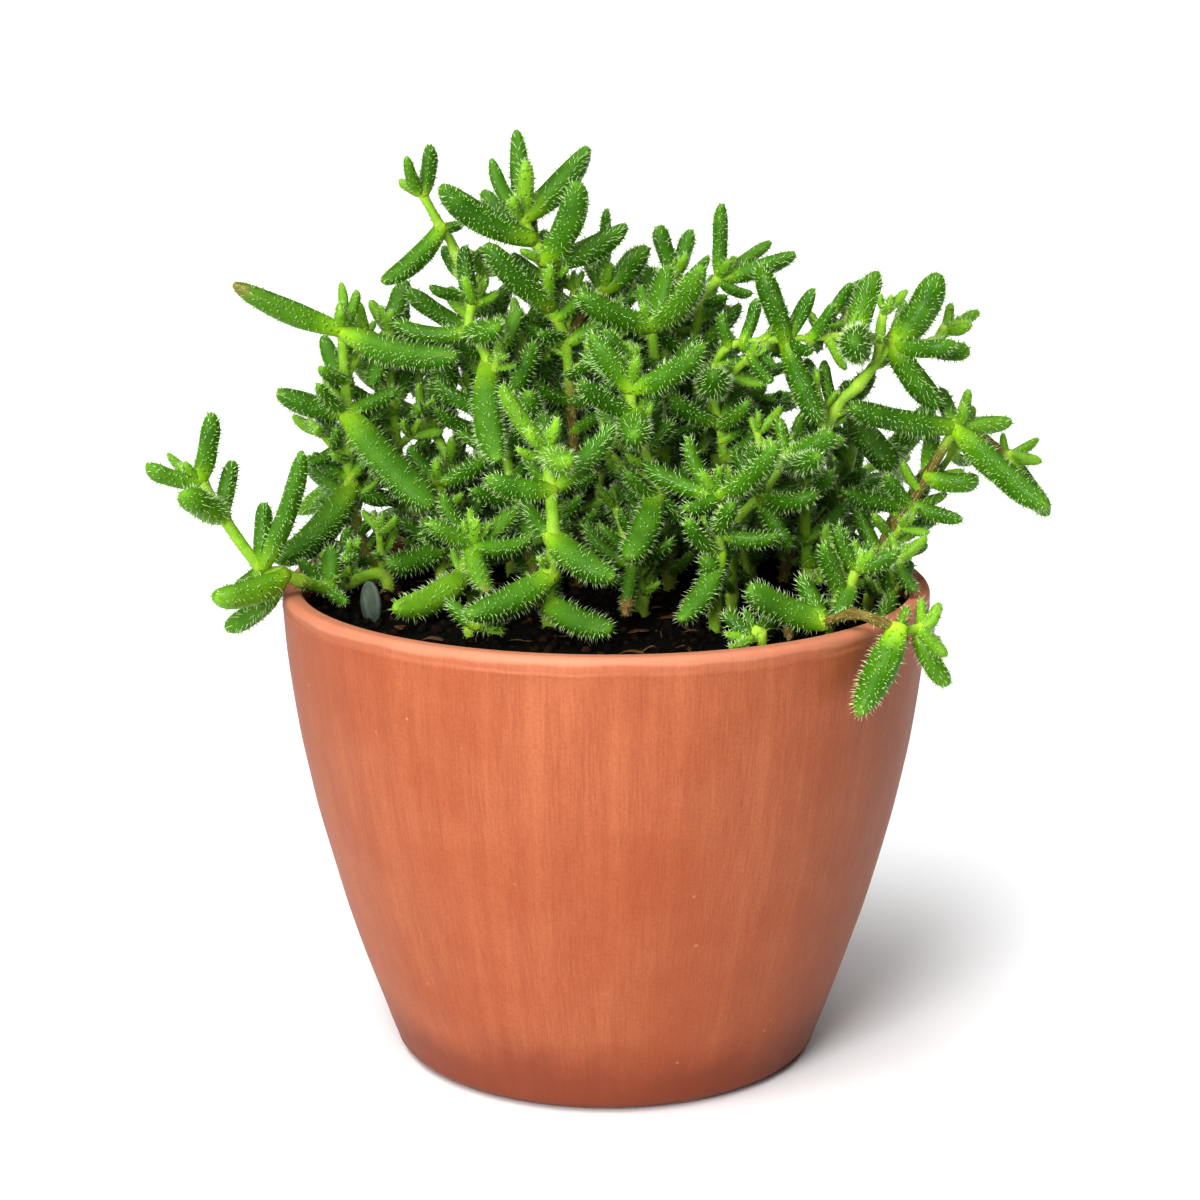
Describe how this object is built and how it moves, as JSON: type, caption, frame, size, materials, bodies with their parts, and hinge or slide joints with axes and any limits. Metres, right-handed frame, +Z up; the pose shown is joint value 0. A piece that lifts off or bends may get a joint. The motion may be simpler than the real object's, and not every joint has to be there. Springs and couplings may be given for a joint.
{
  "type": "potted pickle plant",
  "caption": "Round tapered clay pot with a rolled lip, filled with dark soil and leafy succulent stems that carry fat bristly pickle-shaped leaves.",
  "frame": {"origin": "middle of the pot's flat foot", "axes": "+Z up, +X to the right and +Y to the back as the front view shows it"},
  "size_m": [0.1791, 0.1568, 0.1859],
  "materials": {
    "clay": "satin copper-brown clay with fine upright brush marks",
    "earth": "loose damp potting mix, nearly black",
    "slate": "smooth grey pebble",
    "leaf": "soft green skin with pale bristles"
  },
  "bodies": {
    "root": {"pot": "clay", "soil": "earth", "pebble": "slate", "stem_high_left": "leaf", "stem_far_left": "leaf", "stem_slim_left": "leaf", "stem_inner_left": "leaf", "stem_crown": "leaf", "stem_centre_right": "leaf", "stem_behind_right": "leaf", "stem_top_right": "leaf", "stem_runner": "leaf", "stem_right_crown": "leaf", "stem_far_right": "leaf", "stem_dark_right": "leaf", "stem_mid_right": "leaf", "stem_front_right": "leaf", "stem_front_centre": "leaf", "stem_centre": "leaf", "stem_low_light": "leaf", "stem_left_shade": "leaf", "stem_left_mid": "leaf", "stem_right_low": "leaf", "stem_over_rim": "leaf", "stem_right_rim": "leaf", "stem_low_front": "leaf", "stem_low_left": "leaf", "stem_back_01": "leaf", "stem_back_02": "leaf", "stem_back_03": "leaf", "stem_back_04": "leaf", "stem_back_05": "leaf", "stem_back_06": "leaf", "stem_back_07": "leaf", "stem_back_08": "leaf", "stem_back_09": "leaf", "stem_back_10": "leaf", "stem_back_11": "leaf", "stem_back_12": "leaf", "stem_back_13": "leaf"}
  },
  "joints": []
}
